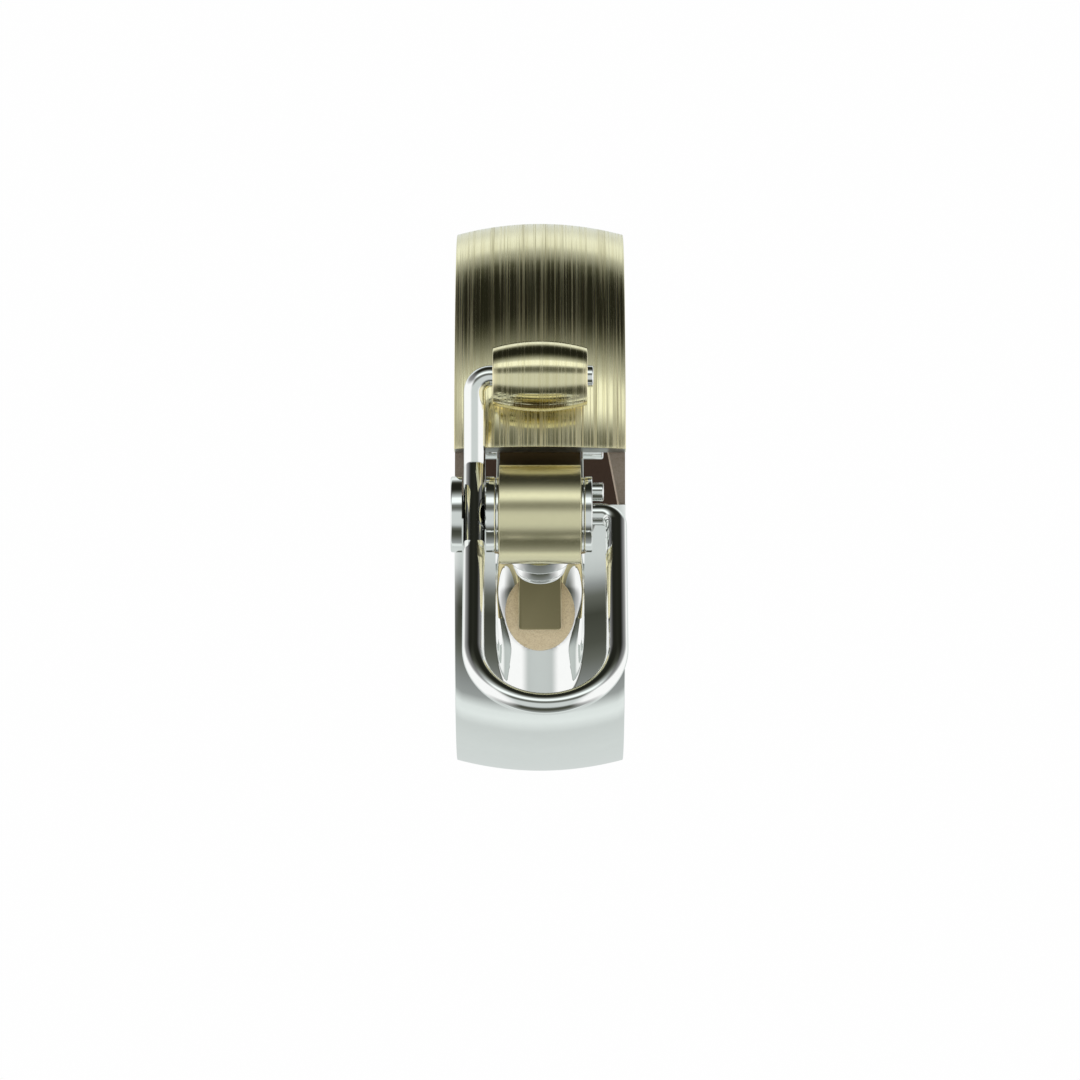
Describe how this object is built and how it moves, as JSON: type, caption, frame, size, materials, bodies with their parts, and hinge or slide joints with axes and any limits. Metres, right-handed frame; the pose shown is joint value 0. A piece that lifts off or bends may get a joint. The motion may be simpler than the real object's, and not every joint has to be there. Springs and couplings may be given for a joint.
{
  "type": "hinged clasp ring slider",
  "caption": "Round two-piece strap ring, hinged behind and closed in front by a swinging wire bail that carries a drum lever with a square tongue.",
  "frame": {"origin": "centre of the ring, on its axis, half way across the band", "axes": "+X along the ring's axis, -Y towards the clasp at the front, +Z towards the brass half"},
  "size_m": [0.0154, 0.0706, 0.05],
  "materials": {
    "brushed_brass": "brushed around the ring, pale gold",
    "satin_brass": "fine satin, pale gold",
    "polished_chrome": "polished, slightly satin on the crown",
    "polished_steel": "mirror polished",
    "dark_bronze": "dark, matt",
    "tan_leather": "fine matt grain"
  },
  "bodies": {
    "upper_half": {"upper_shell": "brushed_brass", "upper_liner": "tan_leather", "bail_barrel": "brushed_brass", "hinge_knuckle_left": "brushed_brass", "hinge_knuckle_right": "brushed_brass", "rear_hinge_pin": "polished_steel"},
    "lower_half": {"lower_shell": "polished_chrome", "lower_liner": "tan_leather", "hinge_knuckle_middle": "polished_chrome"},
    "bail": {"bail_wire": "polished_steel"},
    "lever": {"drum": "satin_brass", "axle_sleeve": "polished_steel", "wire_clevis": "polished_chrome", "end_disc": "polished_chrome", "side_plate_left": "polished_steel", "side_plate_right": "polished_steel", "spacer_block": "dark_bronze", "hook_pin": "polished_steel", "stop_pin": "polished_steel", "tongue_boss": "polished_chrome", "tongue": "satin_brass"}
  },
  "joints": [
    {"name": "bail_swing", "type": "hinge", "parent": "upper_half", "child": "bail", "pos_m": [0, -0.0262, 0.01043], "axis": [-1, 0, 0], "range_deg": [0, 100]},
    {"name": "lever_turn", "type": "hinge", "parent": "bail", "child": "lever", "pos_m": [0, -0.02955, -0.00167], "axis": [-1, 0, 0], "range_deg": [0, 45]},
    {"name": "halves_open", "type": "hinge", "parent": "upper_half", "child": "lower_half", "pos_m": [0, 0.0246, 0], "axis": [1, 0, 0], "range_deg": [0, 40]}
  ],
  "couplings": [
    {"joint": "lever_turn", "follows": "bail_swing", "ratio": 0.45},
    {"joint": "halves_open", "follows": "bail_swing", "ratio": 0.4}
  ]
}
